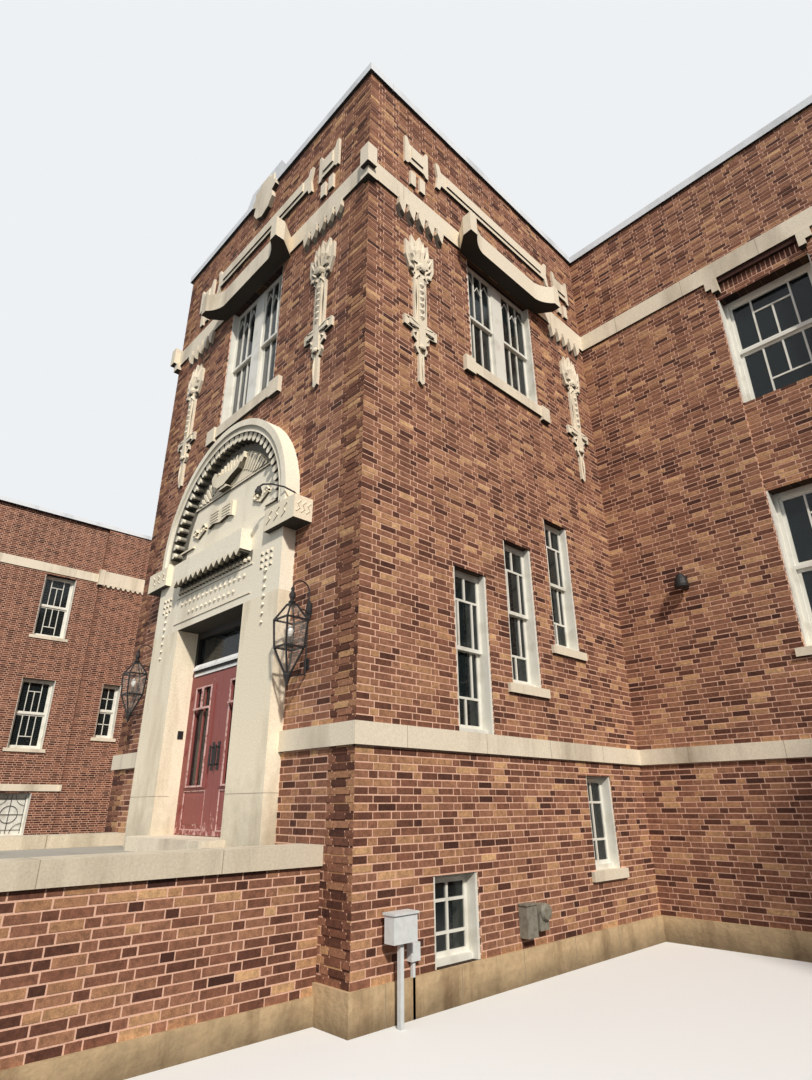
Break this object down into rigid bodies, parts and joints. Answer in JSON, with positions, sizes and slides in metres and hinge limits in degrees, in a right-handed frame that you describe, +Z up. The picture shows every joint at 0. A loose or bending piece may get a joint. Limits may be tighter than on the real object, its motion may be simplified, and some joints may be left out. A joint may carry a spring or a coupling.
{
  "type": "apartment building in a former school",
  "caption": "Brick apartment building in a former school: entrance tower with carved stone portal, arched doorway, terrace, sash windows and two short wings.",
  "frame": {"origin": "on the ground, under the middle of the tower's front brick face", "axes": "+X to the right along the front, +Y into the building, +Z up"},
  "size_m": [39.88, 19.2, 12.235],
  "materials": {
    "brick": "fired clay brick in monk bond, wide tan mortar",
    "limestone": "sawn and carved",
    "rough_stone": "rough cast",
    "white_coping": "sawn, weathered",
    "concrete": "trowelled",
    "white_wood": "painted cream white",
    "red_wood": "dull red paint, worn and peeling",
    "glass": "clear sheet",
    "iron": "painted black, rusting"
  },
  "bodies": {
    "building": {"back_wall": "brick", "back_window_frames": "white_wood", "back_window_glass": "glass", "back_window_sills": "limestone", "band_dentils": "limestone", "basement_floor": "concrete", "coping": "white_coping", "door_frame": "red_wood", "entrance_floor": "concrete", "entrance_lanterns": "iron", "entrance_steps": "concrete", "lower_belt": "limestone", "main_floor": "concrete", "main_wall_left": "brick", "main_wall_right": "brick", "main_window_frames": "white_wood", "main_window_glass": "glass", "main_window_sills": "limestone", "parapet_ornaments": "limestone", "party_wall_left": "brick", "party_wall_right": "brick", "portal_arch": "limestone", "portal_imposts": "limestone", "portal_lintel": "limestone", "portal_pier_left": "limestone", "portal_pier_right": "limestone", "roof_deck": "concrete", "stone_base": "rough_stone", "terrace_caps": "limestone", "terrace_deck": "concrete", "terrace_front_wall": "brick", "terrace_wall_left": "brick", "terrace_wall_right": "brick", "threshold": "limestone", "tower_flank_left": "brick", "tower_flank_right": "brick", "tower_front_left": "brick", "tower_front_over_door": "brick", "tower_front_right": "brick", "tower_front_under_door": "brick", "tower_window_frames": "white_wood", "tower_window_glass": "glass", "tower_window_sills": "limestone", "transom_glass": "glass", "tympanum": "limestone", "upper_band": "limestone", "upper_floor": "concrete", "wall_pendants": "limestone", "window_hoods": "limestone", "wing_flank_left": "brick", "wing_flank_right": "brick", "wing_front_left": "brick", "wing_front_right": "brick", "wing_window_frames": "white_wood", "wing_window_glass": "glass", "wing_window_sills": "limestone"},
    "door_right": {"door_glass_right": "glass", "door_leaf_right": "red_wood"},
    "door_left": {"door_glass_left": "glass", "door_leaf_left": "red_wood"}
  },
  "joints": [
    {"name": "door_right_hinge", "type": "hinge", "parent": "building", "child": "door_right", "pos_m": [0.813, 0.121, 1.35], "axis": [0, 0, 1], "range_deg": [0, 90]},
    {"name": "door_left_hinge", "type": "hinge", "parent": "building", "child": "door_left", "pos_m": [-0.813, 0.121, 1.35], "axis": [0, 0, -1], "range_deg": [0, 90]}
  ]
}
